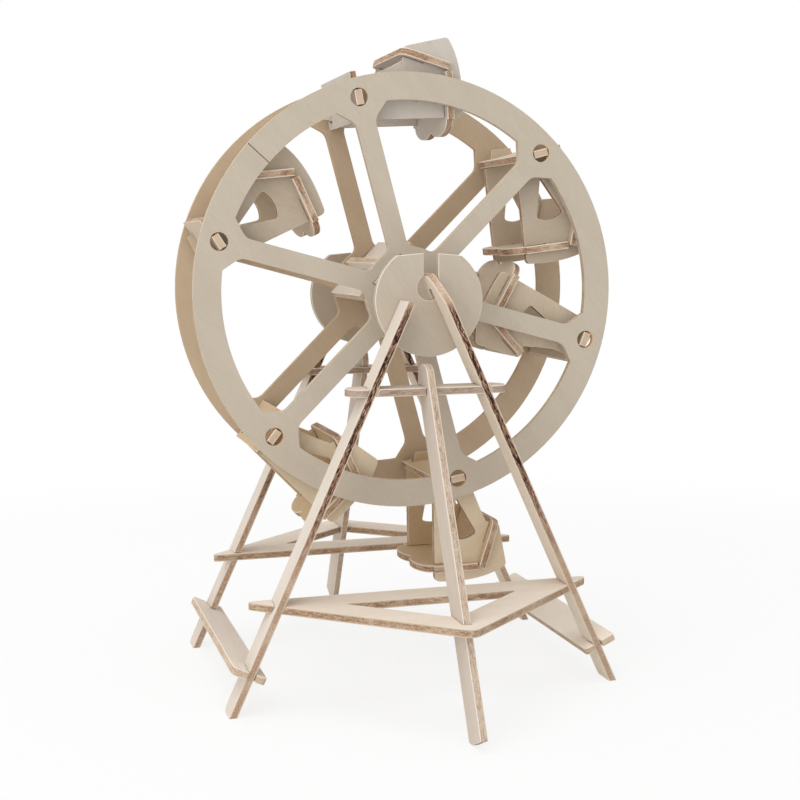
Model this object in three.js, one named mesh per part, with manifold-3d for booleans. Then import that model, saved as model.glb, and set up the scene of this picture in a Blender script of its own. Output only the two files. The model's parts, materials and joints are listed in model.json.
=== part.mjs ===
// Toy ferris wheel cut from 3 mm plywood. Two end frames, each with a pair of leaning legs, a hub disc,
// a crossbar, a ground brace and a strut, stand on either side of a double wheel. Two tie plates hold the
// end frames together. Six cabins swing on tabs between the two wheels.
// Millimetres, +Z up. The origin is on the floor, under the middle of the wheel axis, and the near
// end frame is on the -Y side.
import * as THREE from 'three';
import { mergeVertices } from 'three/addons/utils/BufferGeometryUtils.js';
import Module from 'manifold-3d';

const wasm = await Module();
wasm.setup();

// Sheet and clearances
const PLY = 3.0;
const GAP = 0.3;
const OVERRUN = 2.0;
const CURVE_STEPS = 10;
const ROUND_ARCS = 4;
const FULL_TURN = 2 * Math.PI;

// Wheels
const AXLE_HEIGHT = 161.0;
const SPOKE_COUNT = 6;
const FIRST_SPOKE_ANGLE = THREE.MathUtils.degToRad(105);
const WHEEL_RADIUS = 87.8;
const RIM_WIDTH = 11.0;
const PIVOT_INSET = 7.8;
const SPOKE_WIDTH = 8.0;
const FLARE_LENGTH = 6.5;
const FLARE_SPREAD = 10.5;
const FLARE_SOFTENING = 2.5;
const WEB_RADIUS = 18.6;
const WEB_FILLET = 3.0;
const WHEEL_FACE = 27.4;

// Hub between the wheels
const HUB_PLATE_TURN = THREE.MathUtils.degToRad(45);
const HUB_SLAT_DISTANCE = 12.2;
const HUB_SLAT_WIDTH = 30.6;
const HUB_TAB_WIDTH = 4.0;
const HUB_TAB_PLACE = 6.0;
const HUB_CORE_WIDTH = 36.4;

// Legs
const LEG_LEAN = THREE.MathUtils.degToRad(24.47);
const LEG_OFFSET = 6.2;
const LEG_ROOM = 15.8;
const LEG_WIDTH = 11.3;
const LEG_TOP_DROP = 3.0;
const HEEL_RADIUS = 5.0;
const SOLE_TRIM = 0.5;

// Tongue of one leg in each end frame, which carries the wheels
const TONGUE_RISE = 7.4;
const TONGUE_DEPTH = 5.0;
const TONGUE_PAST = 5.4;
const SHOULDER_DEPTH = 9.4;
const HUB_CLEARANCE = 0.3;

// Hub discs
const DISC_FRONT_GAP = 0.3;
const DISC_RADIUS = 22.2;
const DISC_SHIFT = 3.3;
const DISC_DROP = 2.7;
const DISC_TOP = 17.7;
const DISC_PEAK = 1.2;
const KEYHOLE_RADIUS = 5.1;

// Crossbars
const CROSSBAR_DROP = 37.5;
const CROSSBAR_LENGTH = 65.6;
const CROSSBAR_PROUD = 0.5;
const CROSSBAR_WIDTH = 13.0;

// Struts
const STRUT_REACH = 112.0;
const STRUT_WIDTH = 13.2;
const STRUT_SHIFT = 1.9;
const STRUT_HEADROOM = 2.3;
const STRUT_FOOT_TRIM = 1.2;

// Ground braces
const BRACE_HEIGHT = 40.7;
const BRACE_NOSE = 15.2;
const BRACE_PROUD = 1.2;
const BRACE_BAR = 14.5;
const BRACE_HALF_SPAN = 73.4;
const BRACE_ARM_DEPTH = 19.0;
const BRACE_TIP_RADIUS = 6.0;
const BRACE_APEX_RADIUS = 4.0;
const BRACE_OPENING_RADIUS = 2.0;

// Tie plates
const TIE_HEIGHT = 16.0;
const TIE_PROUD = 1.5;
const TIE_OUTER = 8.0;
const TIE_INNER = 6.0;
const TIE_CORNER = 2.0;

// Cabins. u runs from the pivot towards the back of the seat, w runs up. They hang clear of each other
// because their main sizes are shares of the pivots' distance from the axle.
const CABIN_PLAY = 0.5;
const SIDE_INSET = 5.1;
const SIDE_FRONT_SHARE = 0.10625;
const SIDE_REAR_SHARE = 0.3;
const SIDE_DROP_SHARE = 0.5625;
const SIDE_TOE_RADIUS = 2.5;
const SIDE_HEEL_RADIUS = 1.5;
const BELLY_SHARES = [0.5, 1.035];
const HEEL_SHARES = [0.983, 0.893];
const SKIRT_TOP_SHARES = [0.85, 0.49];
const SHOULDER_SHARES = [0.604, 0.455];
const ARM_SHARES = [[0.52, 0.356], [0.385, 0.178]];
const EAVES_SHARE = 0.35;
const SHOULDER_RADIUS = 1.5;
const WINDOW_SHARES = [[0.06, 0.21], [0.43, 0.56], [-0.09, 0.585]];
const WINDOW_SILL_SHARES = [0.17, 0.64];
const WINDOW_RADIUS = 1.4;
const NOSE_FRONT = 6.0;
const NOSE_REAR = 5.4;
const NOSE_HEIGHT = 4.7;
const NOSE_TAPER = 1.2;
const FLOOR_DROP_SHARE = 0.4875;
const FLOOR_FRONT_SHARE = 0.11875;
const FLOOR_LAP = 0.85;
const LOBE_LENGTH = 6.0;
const LOBE_WIDTH = 24.0;
const LOBE_LAP = 2.5;
const BACK_LEAN = THREE.MathUtils.degToRad(19);
const BACK_FOOT_SHARE = 0.145;
const BACK_LIFT = 0.5;
const BACK_LENGTH_SHARE = 0.26;
const BACK_LAP_SHARE = 0.11875;
const BACK_CORNER = 5.0;
const ROOF_PITCH = THREE.MathUtils.degToRad(8);
const ROOF_FRONT_SHARE = 0.1125;
const ROOF_REAR_SHARE = 0.13125;
const PIVOT_TAB_WIDTH = 6.0;

// Turn of each cabin from plumb in the photograph, in the order of the spokes
const CABIN_TURNS = [93, 7, -119, 1, 44, 115].map(THREE.MathUtils.degToRad);

// Sizes that follow from the ones above
const SLOT = PLY + 2 * GAP;
const WHEEL_BACK = WHEEL_FACE - PLY;
const RIM_INNER = WHEEL_RADIUS - RIM_WIDTH;
const FLARE_RADIUS = RIM_INNER - FLARE_LENGTH;
const PIVOT_RADIUS = WHEEL_RADIUS - PIVOT_INSET;
const PIVOT_HOLE = Math.hypot(PIVOT_TAB_WIDTH / 2, PLY / 2) + GAP;
const LEG_BACK = WHEEL_FACE + LEG_ROOM;
const LEG_FRONT = LEG_BACK + LEG_WIDTH;
const LEG_TOP = AXLE_HEIGHT - LEG_TOP_DROP;
const LAP = (LEG_FRONT + LEG_BACK) / 2;
const TONGUE_TOP = AXLE_HEIGHT + TONGUE_RISE;
const TONGUE_END = WHEEL_FACE - TONGUE_PAST;
const DISC_FRONT = LEG_BACK - DISC_FRONT_GAP;
const DISC_BACK = DISC_FRONT - PLY;
const HUB_HOLE = tongueSweep() + HUB_CLEARANCE;
const CROSSBAR_HEIGHT = AXLE_HEIGHT - CROSSBAR_DROP;
const CROSSBAR_FRONT = LEG_FRONT + CROSSBAR_PROUD;
const STRUT_TOP = AXLE_HEIGHT - DISC_DROP - DISC_RADIUS - STRUT_HEADROOM;
const STRUT_LEAN = Math.atan2(STRUT_REACH - LAP - STRUT_SHIFT, CROSSBAR_HEIGHT);
const STRUT_LENGTH = (STRUT_TOP - STRUT_WIDTH / 2) / Math.cos(STRUT_LEAN) + STRUT_WIDTH / 2;
const BRACE_REACH = STRUT_REACH - BRACE_HEIGHT * Math.tan(STRUT_LEAN) + BRACE_NOSE;
const BRACE_BACK = LEG_BACK - BRACE_PROUD;
const TIE_REACH = LEG_FRONT + TIE_PROUD;
const CABIN_HALF_WIDTH = WHEEL_BACK - CABIN_PLAY;
const SIDE_PLACE = CABIN_HALF_WIDTH - SIDE_INSET;
const SIDE_FRONT = SIDE_FRONT_SHARE * PIVOT_RADIUS;
const SIDE_REAR = SIDE_REAR_SHARE * PIVOT_RADIUS;
const SIDE_DROP = SIDE_DROP_SHARE * PIVOT_RADIUS;
const FLOOR_DROP = FLOOR_DROP_SHARE * PIVOT_RADIUS;
const FLOOR_FRONT = FLOOR_FRONT_SHARE * PIVOT_RADIUS;
const BACK_FOOT = BACK_FOOT_SHARE * PIVOT_RADIUS;
const BACK_LENGTH = BACK_LENGTH_SHARE * PIVOT_RADIUS;
const BACK_RISE = BACK_LAP_SHARE * PIVOT_RADIUS / Math.cos(BACK_LEAN);
const ROOF_FRONT = ROOF_FRONT_SHARE * PIVOT_RADIUS;
const ROOF_REAR = ROOF_REAR_SHARE * PIVOT_RADIUS;

const X_AXIS = new THREE.Vector3(1, 0, 0);
const Y_AXIS = new THREE.Vector3(0, 1, 0);
const Z_AXIS = new THREE.Vector3(0, 0, 1);

// Wood, by how it meets the light
const FACE_WOOD = new THREE.MeshStandardMaterial({ color: 0xd5c7b9, roughness: 0.72, metalness: 0 });
const WHEEL_WOOD = new THREE.MeshStandardMaterial({ color: 0xbeb4a5, roughness: 0.74, metalness: 0 });
const BRACE_WOOD = new THREE.MeshStandardMaterial({ color: 0xcec4b2, roughness: 0.72, metalness: 0 });
const CABIN_WOOD = new THREE.MeshStandardMaterial({ color: 0xd2c0aa, roughness: 0.72, metalness: 0 });

// Height of a leg's middle plane off the middle of the object, at height z
function legSpread(z) {
  return LEG_OFFSET + (AXLE_HEIGHT - z) * Math.tan(LEG_LEAN);
}

// Farthest corner of the tongue from the wheel axis
function tongueSweep() {
  const outward = legSpread(TONGUE_TOP) + PLY / 2 * Math.cos(LEG_LEAN);
  const rise = TONGUE_TOP - AXLE_HEIGHT + PLY / 2 * Math.sin(LEG_LEAN);
  return Math.hypot(outward, rise);
}

// Length along a leg that rises by z
function upLeg(z) {
  return z / Math.cos(LEG_LEAN);
}

// Placement of a flat sheet from its origin and its two in-plane directions
function placeSheet(origin, along, across) {
  const normal = new THREE.Vector3().crossVectors(along, across);
  return new THREE.Matrix4().makeBasis(along, across, normal).setPosition(origin);
}

// Closed mesh as a solid for joining and cutting
function solidFrom(geometry) {
  const bare = geometry.clone();
  bare.deleteAttribute('normal');
  bare.deleteAttribute('uv');
  const merged = mergeVertices(bare);
  return new wasm.Manifold(new wasm.Mesh({
    numProp: 3,
    vertProperties: new Float32Array(merged.attributes.position.array),
    triVerts: new Uint32Array(merged.index.array),
  }));
}

// Solid as a mesh with flat faces
function geometryFrom(solid) {
  const mesh = solid.getMesh();
  const geometry = new THREE.BufferGeometry();
  geometry.setAttribute('position', new THREE.BufferAttribute(mesh.vertProperties, 3));
  geometry.setIndex(new THREE.BufferAttribute(mesh.triVerts, 1));
  geometry.computeVertexNormals();
  return geometry;
}

// Sheet of plywood: its outline is drawn in its own plane, and the plane lies in mid-thickness
function sheet(outline, place) {
  const geometry = new THREE.ExtrudeGeometry(outline, {
    depth: PLY,
    bevelEnabled: false,
    curveSegments: CURVE_STEPS,
  });
  geometry.translate(0, 0, -PLY / 2);
  return { solid: solidFrom(geometry), place };
}

// Cuts bodies, given in the same frame as the sheet's placement, out of the sheet
function carve(plate, cutters) {
  const toPlate = plate.place.clone().invert();
  for (const cutter of cutters) {
    plate.solid = plate.solid.subtract(solidFrom(cutter.clone().applyMatrix4(toPlate)));
  }
  return plate;
}

// Block in a sheet's plane between two corners, thick enough to clear a sheet that lies there
function slab(place, from, to, thickness = SLOT) {
  const block = new THREE.BoxGeometry(to[0] - from[0], to[1] - from[1], thickness);
  block.translate((to[0] + from[0]) / 2, (to[1] + from[1]) / 2, 0);
  return block.applyMatrix4(place);
}

// Block of everything below the floor
function belowFloor() {
  const side = 2 * (STRUT_REACH + AXLE_HEIGHT);
  const block = new THREE.BoxGeometry(side, side, side);
  return block.translate(0, 0, -side / 2);
}

// Named mesh of a sheet at its placement
function meshOf(name, plate, material) {
  const mesh = new THREE.Mesh(geometryFrom(plate.solid), material);
  mesh.name = name;
  mesh.applyMatrix4(plate.place);
  return mesh;
}

// Closed outline through corners [x, y, radius], each corner rounded by its radius
function roundedShape(corners) {
  const shape = new THREE.Shape();
  corners.forEach(([x, y, radius = 0], index) => {
    const before = corners[(index + corners.length - 1) % corners.length];
    const after = corners[(index + 1) % corners.length];
    const enter = towards([x, y], before, radius);
    const leave = towards([x, y], after, radius);
    if (index === 0) {
      shape.moveTo(enter[0], enter[1]);
    } else {
      shape.lineTo(enter[0], enter[1]);
    }
    if (radius > 0) {
      shape.quadraticCurveTo(x, y, leave[0], leave[1]);
    }
  });
  shape.closePath();
  return shape;
}

// Point a given distance from one point towards another
function towards(from, to, distance) {
  const span = Math.hypot(to[0] - from[0], to[1] - from[1]);
  const part = distance / span;
  return [from[0] + (to[0] - from[0]) * part, from[1] + (to[1] - from[1]) * part];
}

// Point at a distance along and a distance to the left of a ray from the middle
function offRay(angle, along, left) {
  return [
    along * Math.cos(angle) - left * Math.sin(angle),
    along * Math.sin(angle) + left * Math.cos(angle),
  ];
}

// Placement of a leg's plane, side +1 on the right and -1 on the left
function legPlace(side) {
  const up = new THREE.Vector3(-side * Math.sin(LEG_LEAN), 0, Math.cos(LEG_LEAN));
  return placeSheet(new THREE.Vector3(side * legSpread(0), 0, 0), Y_AXIS, up);
}

// Placement of a tie plate's plane, square to the leg's plane
function tiePlace(side) {
  const outward = new THREE.Vector3(side * Math.cos(LEG_LEAN), 0, Math.sin(LEG_LEAN));
  return placeSheet(new THREE.Vector3(side * legSpread(TIE_HEIGHT), 0, TIE_HEIGHT), Y_AXIS, outward);
}

// Placement of a level sheet at a height
function levelPlace(height) {
  return placeSheet(new THREE.Vector3(0, 0, height), X_AXIS, Y_AXIS);
}

const STRUT_PLACE = placeSheet(new THREE.Vector3(), Y_AXIS, Z_AXIS);
const CROSSBAR_PLACE = levelPlace(CROSSBAR_HEIGHT);
const BRACE_PLACE = levelPlace(BRACE_HEIGHT);
const LEG_SIDES = [-1, 1];

// Half-lap slots that a leg or strut gets from its back edge, for the sheets that cross it
function backSlots(places) {
  const reach = AXLE_HEIGHT;
  const deep = -(LAP + GAP / 2);
  const open = -LEG_BACK + OVERRUN;
  return places.map(({ place, alongY }) => {
    const from = alongY ? [deep, -reach] : [-reach, deep];
    const to = alongY ? [open, reach] : [reach, open];
    return slab(place, from, to);
  });
}

// Half-lap slots that a crossing sheet gets from its front edge, for the uprights
function frontSlots(places, front) {
  const reach = 2 * AXLE_HEIGHT;
  const from = [-(front + OVERRUN), -reach];
  const to = [-(LAP - GAP / 2), reach];
  return places.map((place) => slab(place, from, to));
}

// Sheets that cross the legs
function legCrossings(side) {
  return [
    { place: CROSSBAR_PLACE, alongY: false },
    { place: BRACE_PLACE, alongY: false },
    { place: tiePlace(side), alongY: true },
  ];
}

// Foot end of a leg, from the back edge to the front edge. The heel is behind on the near frame and in
// front on the far frame.
function footCorners(end) {
  const sole = -(PLY / 2 * Math.tan(LEG_LEAN) + SOLE_TRIM);
  const [back, front] = end === 'near' ? [HEEL_RADIUS, 0] : [0, HEEL_RADIUS];
  return [[-LEG_BACK, sole, back], [-LEG_FRONT, sole, front]];
}

// Leg whose top is cut square
function plainLegOutline(end) {
  return roundedShape([
    ...footCorners(end),
    [-LEG_FRONT, upLeg(LEG_TOP)],
    [-LEG_BACK, upLeg(LEG_TOP)],
  ]);
}

// Leg whose top turns back into the tongue that passes through the hub disc and the wheel
function tongueLegOutline(end) {
  const top = upLeg(TONGUE_TOP);
  const underside = upLeg(TONGUE_TOP - TONGUE_DEPTH);
  const shoulder = upLeg(TONGUE_TOP - SHOULDER_DEPTH);
  const shoulderFront = -(DISC_BACK - GAP);
  const shoulderBack = -(WHEEL_FACE + GAP);
  return roundedShape([
    ...footCorners(end),
    [-LEG_FRONT, upLeg(LEG_TOP)],
    [-LEG_BACK - PLY, top, PLY],
    [-TONGUE_END, top],
    [-TONGUE_END, underside],
    [shoulderBack, underside],
    [shoulderBack, shoulder],
    [shoulderFront, shoulder],
    [shoulderFront, underside],
    [-LEG_BACK, underside],
  ]);
}

function legPlate(side, end) {
  const outline = side > 0 ? tongueLegOutline(end) : plainLegOutline(end);
  const plate = sheet(outline, legPlace(side));
  return carve(plate, [...backSlots(legCrossings(side)), belowFloor()]);
}

// Point of the strut's plane: a distance up the strut's middle line and a distance towards the object
function onStrut(up, inward) {
  return [
    -STRUT_REACH + up * Math.sin(STRUT_LEAN) + inward * Math.cos(STRUT_LEAN),
    up * Math.cos(STRUT_LEAN) - inward * Math.sin(STRUT_LEAN),
  ];
}

function strutOutline() {
  const half = STRUT_WIDTH / 2;
  const foot = (half * Math.sin(STRUT_LEAN) - STRUT_FOOT_TRIM) / Math.cos(STRUT_LEAN);
  const crown = onStrut(STRUT_LENGTH - half, 0);
  const shape = new THREE.Shape();
  shape.moveTo(...onStrut(foot, -half));
  shape.lineTo(...onStrut(foot, half));
  shape.lineTo(...onStrut(STRUT_LENGTH - half, half));
  shape.absarc(crown[0], crown[1], half, -STRUT_LEAN, Math.PI - STRUT_LEAN, false);
  shape.closePath();
  return shape;
}

function strutPlate() {
  const plate = sheet(strutOutline(), STRUT_PLACE);
  return carve(plate, [...backSlots([{ place: CROSSBAR_PLACE, alongY: false }]), belowFloor()]);
}

// Clear way for the strut through another sheet
function strutWay() {
  const half = STRUT_WIDTH / 2 + GAP;
  const block = new THREE.BoxGeometry(2 * half, STRUT_LENGTH, SLOT);
  const middle = onStrut(STRUT_LENGTH / 2, 0);
  block.rotateZ(-STRUT_LEAN);
  block.translate(middle[0], middle[1], 0);
  return block.applyMatrix4(STRUT_PLACE);
}

function crossbarPlate() {
  const radius = CROSSBAR_WIDTH / 2;
  const end = CROSSBAR_LENGTH / 2 - radius;
  const middle = -CROSSBAR_FRONT + radius;
  const shape = new THREE.Shape();
  shape.absarc(end, middle, radius, -Math.PI / 2, Math.PI / 2, false);
  shape.absarc(-end, middle, radius, Math.PI / 2, 3 * Math.PI / 2, false);
  shape.closePath();
  const uprights = [...LEG_SIDES.map(legPlace), STRUT_PLACE];
  return carve(sheet(shape, CROSSBAR_PLACE), frontSlots(uprights, CROSSBAR_FRONT));
}

// Triangular ring, drawn with its bar at the back and its apex at the front
function bracePlate() {
  const slope = (BRACE_REACH - BRACE_BACK) / BRACE_HALF_SPAN;
  const innerReach = BRACE_REACH - BRACE_ARM_DEPTH;
  const innerBack = BRACE_BACK + BRACE_BAR;
  const innerHalf = (innerReach - innerBack) / slope;
  const outline = roundedShape([
    [BRACE_HALF_SPAN, -BRACE_BACK, BRACE_TIP_RADIUS],
    [-BRACE_HALF_SPAN, -BRACE_BACK, BRACE_TIP_RADIUS],
    [0, -BRACE_REACH, BRACE_APEX_RADIUS],
  ]);
  outline.holes.push(roundedShape([
    [innerHalf, -innerBack, BRACE_OPENING_RADIUS],
    [0, -innerReach, BRACE_OPENING_RADIUS],
    [-innerHalf, -innerBack, BRACE_OPENING_RADIUS],
  ]));
  const plate = sheet(outline, BRACE_PLACE);
  const legWays = frontSlots(LEG_SIDES.map(legPlace), BRACE_REACH);
  return carve(plate, [...legWays, strutWay()]);
}

// Plate that ties the near and far legs of one side together
function tiePlate(side) {
  const outline = roundedShape([
    [-TIE_REACH, -TIE_INNER, TIE_CORNER],
    [TIE_REACH, -TIE_INNER, TIE_CORNER],
    [TIE_REACH, TIE_OUTER, TIE_CORNER],
    [-TIE_REACH, TIE_OUTER, TIE_CORNER],
  ]);
  const leg = legPlace(side);
  const inner = LAP - GAP / 2;
  const outer = TIE_REACH + OVERRUN;
  return carve(sheet(outline, tiePlace(side)), [
    slab(leg, [-outer, -AXLE_HEIGHT], [-inner, AXLE_HEIGHT]),
    slab(leg, [inner, -AXLE_HEIGHT], [outer, AXLE_HEIGHT]),
  ]);
}

// Disc with a slightly peaked flat top and a keyhole slot for the tongue
function discPlate() {
  const corner = Math.sqrt(DISC_RADIUS ** 2 - DISC_TOP ** 2);
  const start = Math.atan2(DISC_TOP, -corner);
  const end = Math.atan2(DISC_TOP, corner);
  const shape = new THREE.Shape();
  shape.moveTo(0, DISC_TOP + DISC_PEAK);
  shape.lineTo(-corner, DISC_TOP);
  const step = (end + FULL_TURN - start) / ROUND_ARCS;
  for (let arc = 0; arc < ROUND_ARCS; arc += 1) {
    shape.absarc(0, 0, DISC_RADIUS, start + arc * step, start + (arc + 1) * step, false);
  }
  shape.closePath();
  const middle = new THREE.Vector3(DISC_SHIFT, -(DISC_FRONT + DISC_BACK) / 2, AXLE_HEIGHT - DISC_DROP);
  const place = placeSheet(middle, X_AXIS, Z_AXIS);
  const bore = new THREE.CylinderGeometry(KEYHOLE_RADIUS, KEYHOLE_RADIUS, SLOT, 4 * CURVE_STEPS);
  const boreHeight = TONGUE_TOP - TONGUE_DEPTH;
  bore.translate(DISC_SHIFT, middle.y, boreHeight);
  const side = PLY / 2 / Math.cos(LEG_LEAN) + GAP;
  const slotFrom = [legSpread(TONGUE_TOP) - side - DISC_SHIFT, boreHeight - middle.z];
  const slotTo = [legSpread(boreHeight) + side - DISC_SHIFT, DISC_RADIUS];
  return carve(sheet(shape, place), [bore, slab(place, slotFrom, slotTo)]);
}

// End frame on the near side, given the names of its left and right legs
function endFrame(end, leftLeg, rightLeg) {
  const group = new THREE.Group();
  group.add(meshOf(leftLeg, legPlate(-1, end), FACE_WOOD));
  group.add(meshOf(rightLeg, legPlate(1, end), FACE_WOOD));
  group.add(meshOf(`${end}_strut`, strutPlate(), FACE_WOOD));
  group.add(meshOf(`${end}_crossbar`, crossbarPlate(), FACE_WOOD));
  group.add(meshOf(`${end}_brace`, bracePlate(), BRACE_WOOD));
  group.add(meshOf(`${end}_hub_disc`, discPlate(), WHEEL_WOOD));
  return group;
}

// Opening of the wheel between a spoke and the next one
function sectorOpening(angle) {
  const next = angle + FULL_TURN / SPOKE_COUNT;
  const half = SPOKE_WIDTH / 2;
  const webTurn = Math.asin(half / WEB_RADIUS);
  const webReach = WEB_RADIUS * Math.cos(webTurn);
  const filletTurn = webTurn + WEB_FILLET / WEB_RADIUS;
  const rimTurn = Math.asin(FLARE_SPREAD / RIM_INNER);
  const rimReach = RIM_INNER * Math.cos(rimTurn);
  const flareCorner = offRay(angle, FLARE_RADIUS, half);
  const rimStart = offRay(angle, rimReach, FLARE_SPREAD);
  const nextCorner = offRay(next, FLARE_RADIUS, -half);
  const rimEnd = offRay(next, rimReach, -FLARE_SPREAD);
  const path = new THREE.Path();
  path.moveTo(...offRay(angle, webReach + WEB_FILLET, half));
  path.lineTo(...offRay(angle, FLARE_RADIUS - FLARE_SOFTENING, half));
  path.quadraticCurveTo(...flareCorner, ...towards(flareCorner, rimStart, FLARE_SOFTENING));
  path.lineTo(...rimStart);
  path.absarc(0, 0, RIM_INNER, angle + rimTurn, next - rimTurn, false);
  path.lineTo(...towards(nextCorner, rimEnd, FLARE_SOFTENING));
  path.quadraticCurveTo(...nextCorner, ...offRay(next, FLARE_RADIUS - FLARE_SOFTENING, -half));
  path.lineTo(...offRay(next, webReach + WEB_FILLET, -half));
  path.quadraticCurveTo(...offRay(next, webReach, -half), ...offRay(next - filletTurn, WEB_RADIUS, 0));
  path.absarc(0, 0, WEB_RADIUS, next - filletTurn, angle + filletTurn, true);
  path.quadraticCurveTo(...offRay(angle, webReach, half), ...offRay(angle, webReach + WEB_FILLET, half));
  return path;
}

// Round hole in an outline
function roundHole(x, y, radius) {
  const path = new THREE.Path();
  path.absarc(x, y, radius, 0, -Math.PI, true);
  path.absarc(x, y, radius, -Math.PI, -FULL_TURN, true);
  return path;
}

// Placement of a hub slat, turn 0 above the hub and half a turn below it, before the hub is turned
function slatPlace(turn) {
  const along = new THREE.Vector3(Math.cos(HUB_PLATE_TURN + turn), 0, Math.sin(HUB_PLATE_TURN + turn));
  const outward = new THREE.Vector3(-along.z, 0, along.x);
  return placeSheet(outward.multiplyScalar(HUB_SLAT_DISTANCE), along, Y_AXIS);
}

// Placement of the core plate, which crosses both hub slats
function corePlace() {
  const along = new THREE.Vector3(-Math.sin(HUB_PLATE_TURN), 0, Math.cos(HUB_PLATE_TURN));
  return placeSheet(new THREE.Vector3(), along, Y_AXIS);
}

const SLAT_TURNS = [0, Math.PI];

// Wheel on one side, side -1 near and +1 far, before its tab slots are cut
function wheelPlate(side) {
  const shape = new THREE.Shape();
  const step = FULL_TURN / SPOKE_COUNT;
  const spokes = Array.from({ length: SPOKE_COUNT }, (_, index) => FIRST_SPOKE_ANGLE - index * step);
  for (const angle of [...spokes].reverse()) {
    shape.absarc(0, 0, WHEEL_RADIUS, angle, angle + step, false);
  }
  for (const angle of spokes) {
    shape.holes.push(sectorOpening(angle));
    shape.holes.push(roundHole(...offRay(angle, PIVOT_RADIUS, 0), PIVOT_HOLE));
  }
  shape.holes.push(roundHole(0, 0, HUB_HOLE));
  const middle = new THREE.Vector3(0, side * (WHEEL_FACE + WHEEL_BACK) / 2, 0);
  const plate = sheet(shape, placeSheet(middle, X_AXIS, Z_AXIS));
  return carve(plate, hubTabWays());
}

// Ways through both wheels for the tabs of the hub slats
function hubTabWays() {
  const reach = WHEEL_FACE + OVERRUN;
  const half = HUB_TAB_WIDTH / 2 + GAP;
  const ways = [];
  for (const turn of SLAT_TURNS) {
    for (const place of [-HUB_TAB_PLACE, HUB_TAB_PLACE]) {
      ways.push(slab(slatPlace(turn), [place - half, -reach], [place + half, reach]));
    }
  }
  return ways;
}

// Slat that joins the wheels beside the hub, with two tabs at each end and half a slot for the core plate
function hubSlatPlate(turn) {
  const half = HUB_SLAT_WIDTH / 2;
  const body = WHEEL_BACK - GAP;
  const near = HUB_TAB_PLACE - HUB_TAB_WIDTH / 2;
  const far = HUB_TAB_PLACE + HUB_TAB_WIDTH / 2;
  const corner = [[far, body], [far, WHEEL_FACE], [near, WHEEL_FACE], [near, body]];
  const mirrored = corner.map(([x, y]) => [-x, y]).reverse();
  const top = [[half, body], ...corner, ...mirrored, [-half, body]];
  const bottom = top.map(([x, y]) => [-x, -y]);
  const plate = sheet(roundedShape([...top, ...bottom]), slatPlace(turn));
  const reach = HUB_CORE_WIDTH;
  return carve(plate, [slab(corePlace(), [-reach, -WHEEL_FACE], [reach, GAP / 2])]);
}

// Core plate between the wheels, notched beside each hub hole for the tongue
function hubCorePlate() {
  const half = HUB_CORE_WIDTH / 2;
  const body = WHEEL_BACK - GAP;
  const relief = TONGUE_END - 2 * GAP;
  const top = [[half, body], [HUB_HOLE, body], [HUB_HOLE, relief], [-HUB_HOLE, relief], [-HUB_HOLE, body],
    [-half, body]];
  const bottom = top.map(([x, y]) => [-x, -y]);
  const plate = sheet(roundedShape([...top, ...bottom]), corePlace());
  const reach = HUB_SLAT_WIDTH;
  return carve(plate, SLAT_TURNS.map(
    (turn) => slab(slatPlace(turn), [-reach, -GAP / 2], [reach, WHEEL_FACE]),
  ));
}

// Point of a cabin's side as shares of its depth behind the pivot and its drop below it
function onSide([depthShare, dropShare]) {
  return [depthShare * SIDE_REAR, -dropShare * SIDE_DROP];
}

// Height of the roof's middle plane at u
function roofLine(u) {
  return u * Math.tan(ROOF_PITCH);
}

// Cabin side with its window, its nose through the roof and its skirt behind the seat
function sideOutline() {
  const under = -(PLY / 2 + GAP) / Math.cos(ROOF_PITCH);
  const eaves = EAVES_SHARE * SIDE_REAR;
  const heel = onSide(HEEL_SHARES);
  const skirtTop = onSide(SKIRT_TOP_SHARES);
  const belly = onSide(BELLY_SHARES);
  const toe = [-SIDE_FRONT, -SIDE_DROP];
  const beforeHeel = towards(heel, belly, SIDE_HEEL_RADIUS);
  const afterHeel = towards(heel, skirtTop, SIDE_HEEL_RADIUS);
  const shape = new THREE.Shape();
  shape.moveTo(toe[0], toe[1] + SIDE_TOE_RADIUS);
  shape.quadraticCurveTo(...toe, toe[0] + SIDE_TOE_RADIUS, toe[1]);
  shape.quadraticCurveTo(...belly, ...beforeHeel);
  shape.quadraticCurveTo(...heel, ...afterHeel);
  shape.lineTo(...towards(skirtTop, heel, SHOULDER_RADIUS));
  shape.quadraticCurveTo(...skirtTop, ...towards(skirtTop, onSide(SHOULDER_SHARES), SHOULDER_RADIUS));
  shape.lineTo(...onSide(SHOULDER_SHARES));
  for (const shares of ARM_SHARES) {
    shape.lineTo(...onSide(shares));
  }
  shape.lineTo(eaves, roofLine(eaves) + under);
  shape.lineTo(NOSE_REAR, roofLine(NOSE_REAR) + under);
  shape.lineTo(NOSE_REAR - NOSE_TAPER, NOSE_HEIGHT);
  shape.lineTo(-NOSE_FRONT + NOSE_TAPER, NOSE_HEIGHT);
  shape.lineTo(-NOSE_FRONT, roofLine(-NOSE_FRONT) + under);
  shape.lineTo(-SIDE_FRONT, roofLine(-SIDE_FRONT) + under);
  shape.closePath();
  shape.holes.push(windowPath());
  return shape;
}

// Window of a cabin side: an arch that comes to a point, with a bowed sill
function windowPath() {
  const [apex, rear, front] = WINDOW_SHARES.map(onSide);
  const sill = onSide(WINDOW_SILL_SHARES);
  const path = new THREE.Path();
  path.moveTo(...towards(apex, rear, WINDOW_RADIUS));
  path.quadraticCurveTo(...apex, ...towards(apex, front, WINDOW_RADIUS));
  path.lineTo(...towards(front, apex, WINDOW_RADIUS));
  path.quadraticCurveTo(...front, ...towards(front, sill, WINDOW_RADIUS));
  path.quadraticCurveTo(...sill, ...towards(rear, sill, WINDOW_RADIUS));
  path.quadraticCurveTo(...rear, ...towards(rear, apex, WINDOW_RADIUS));
  path.closePath();
  return path;
}

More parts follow.
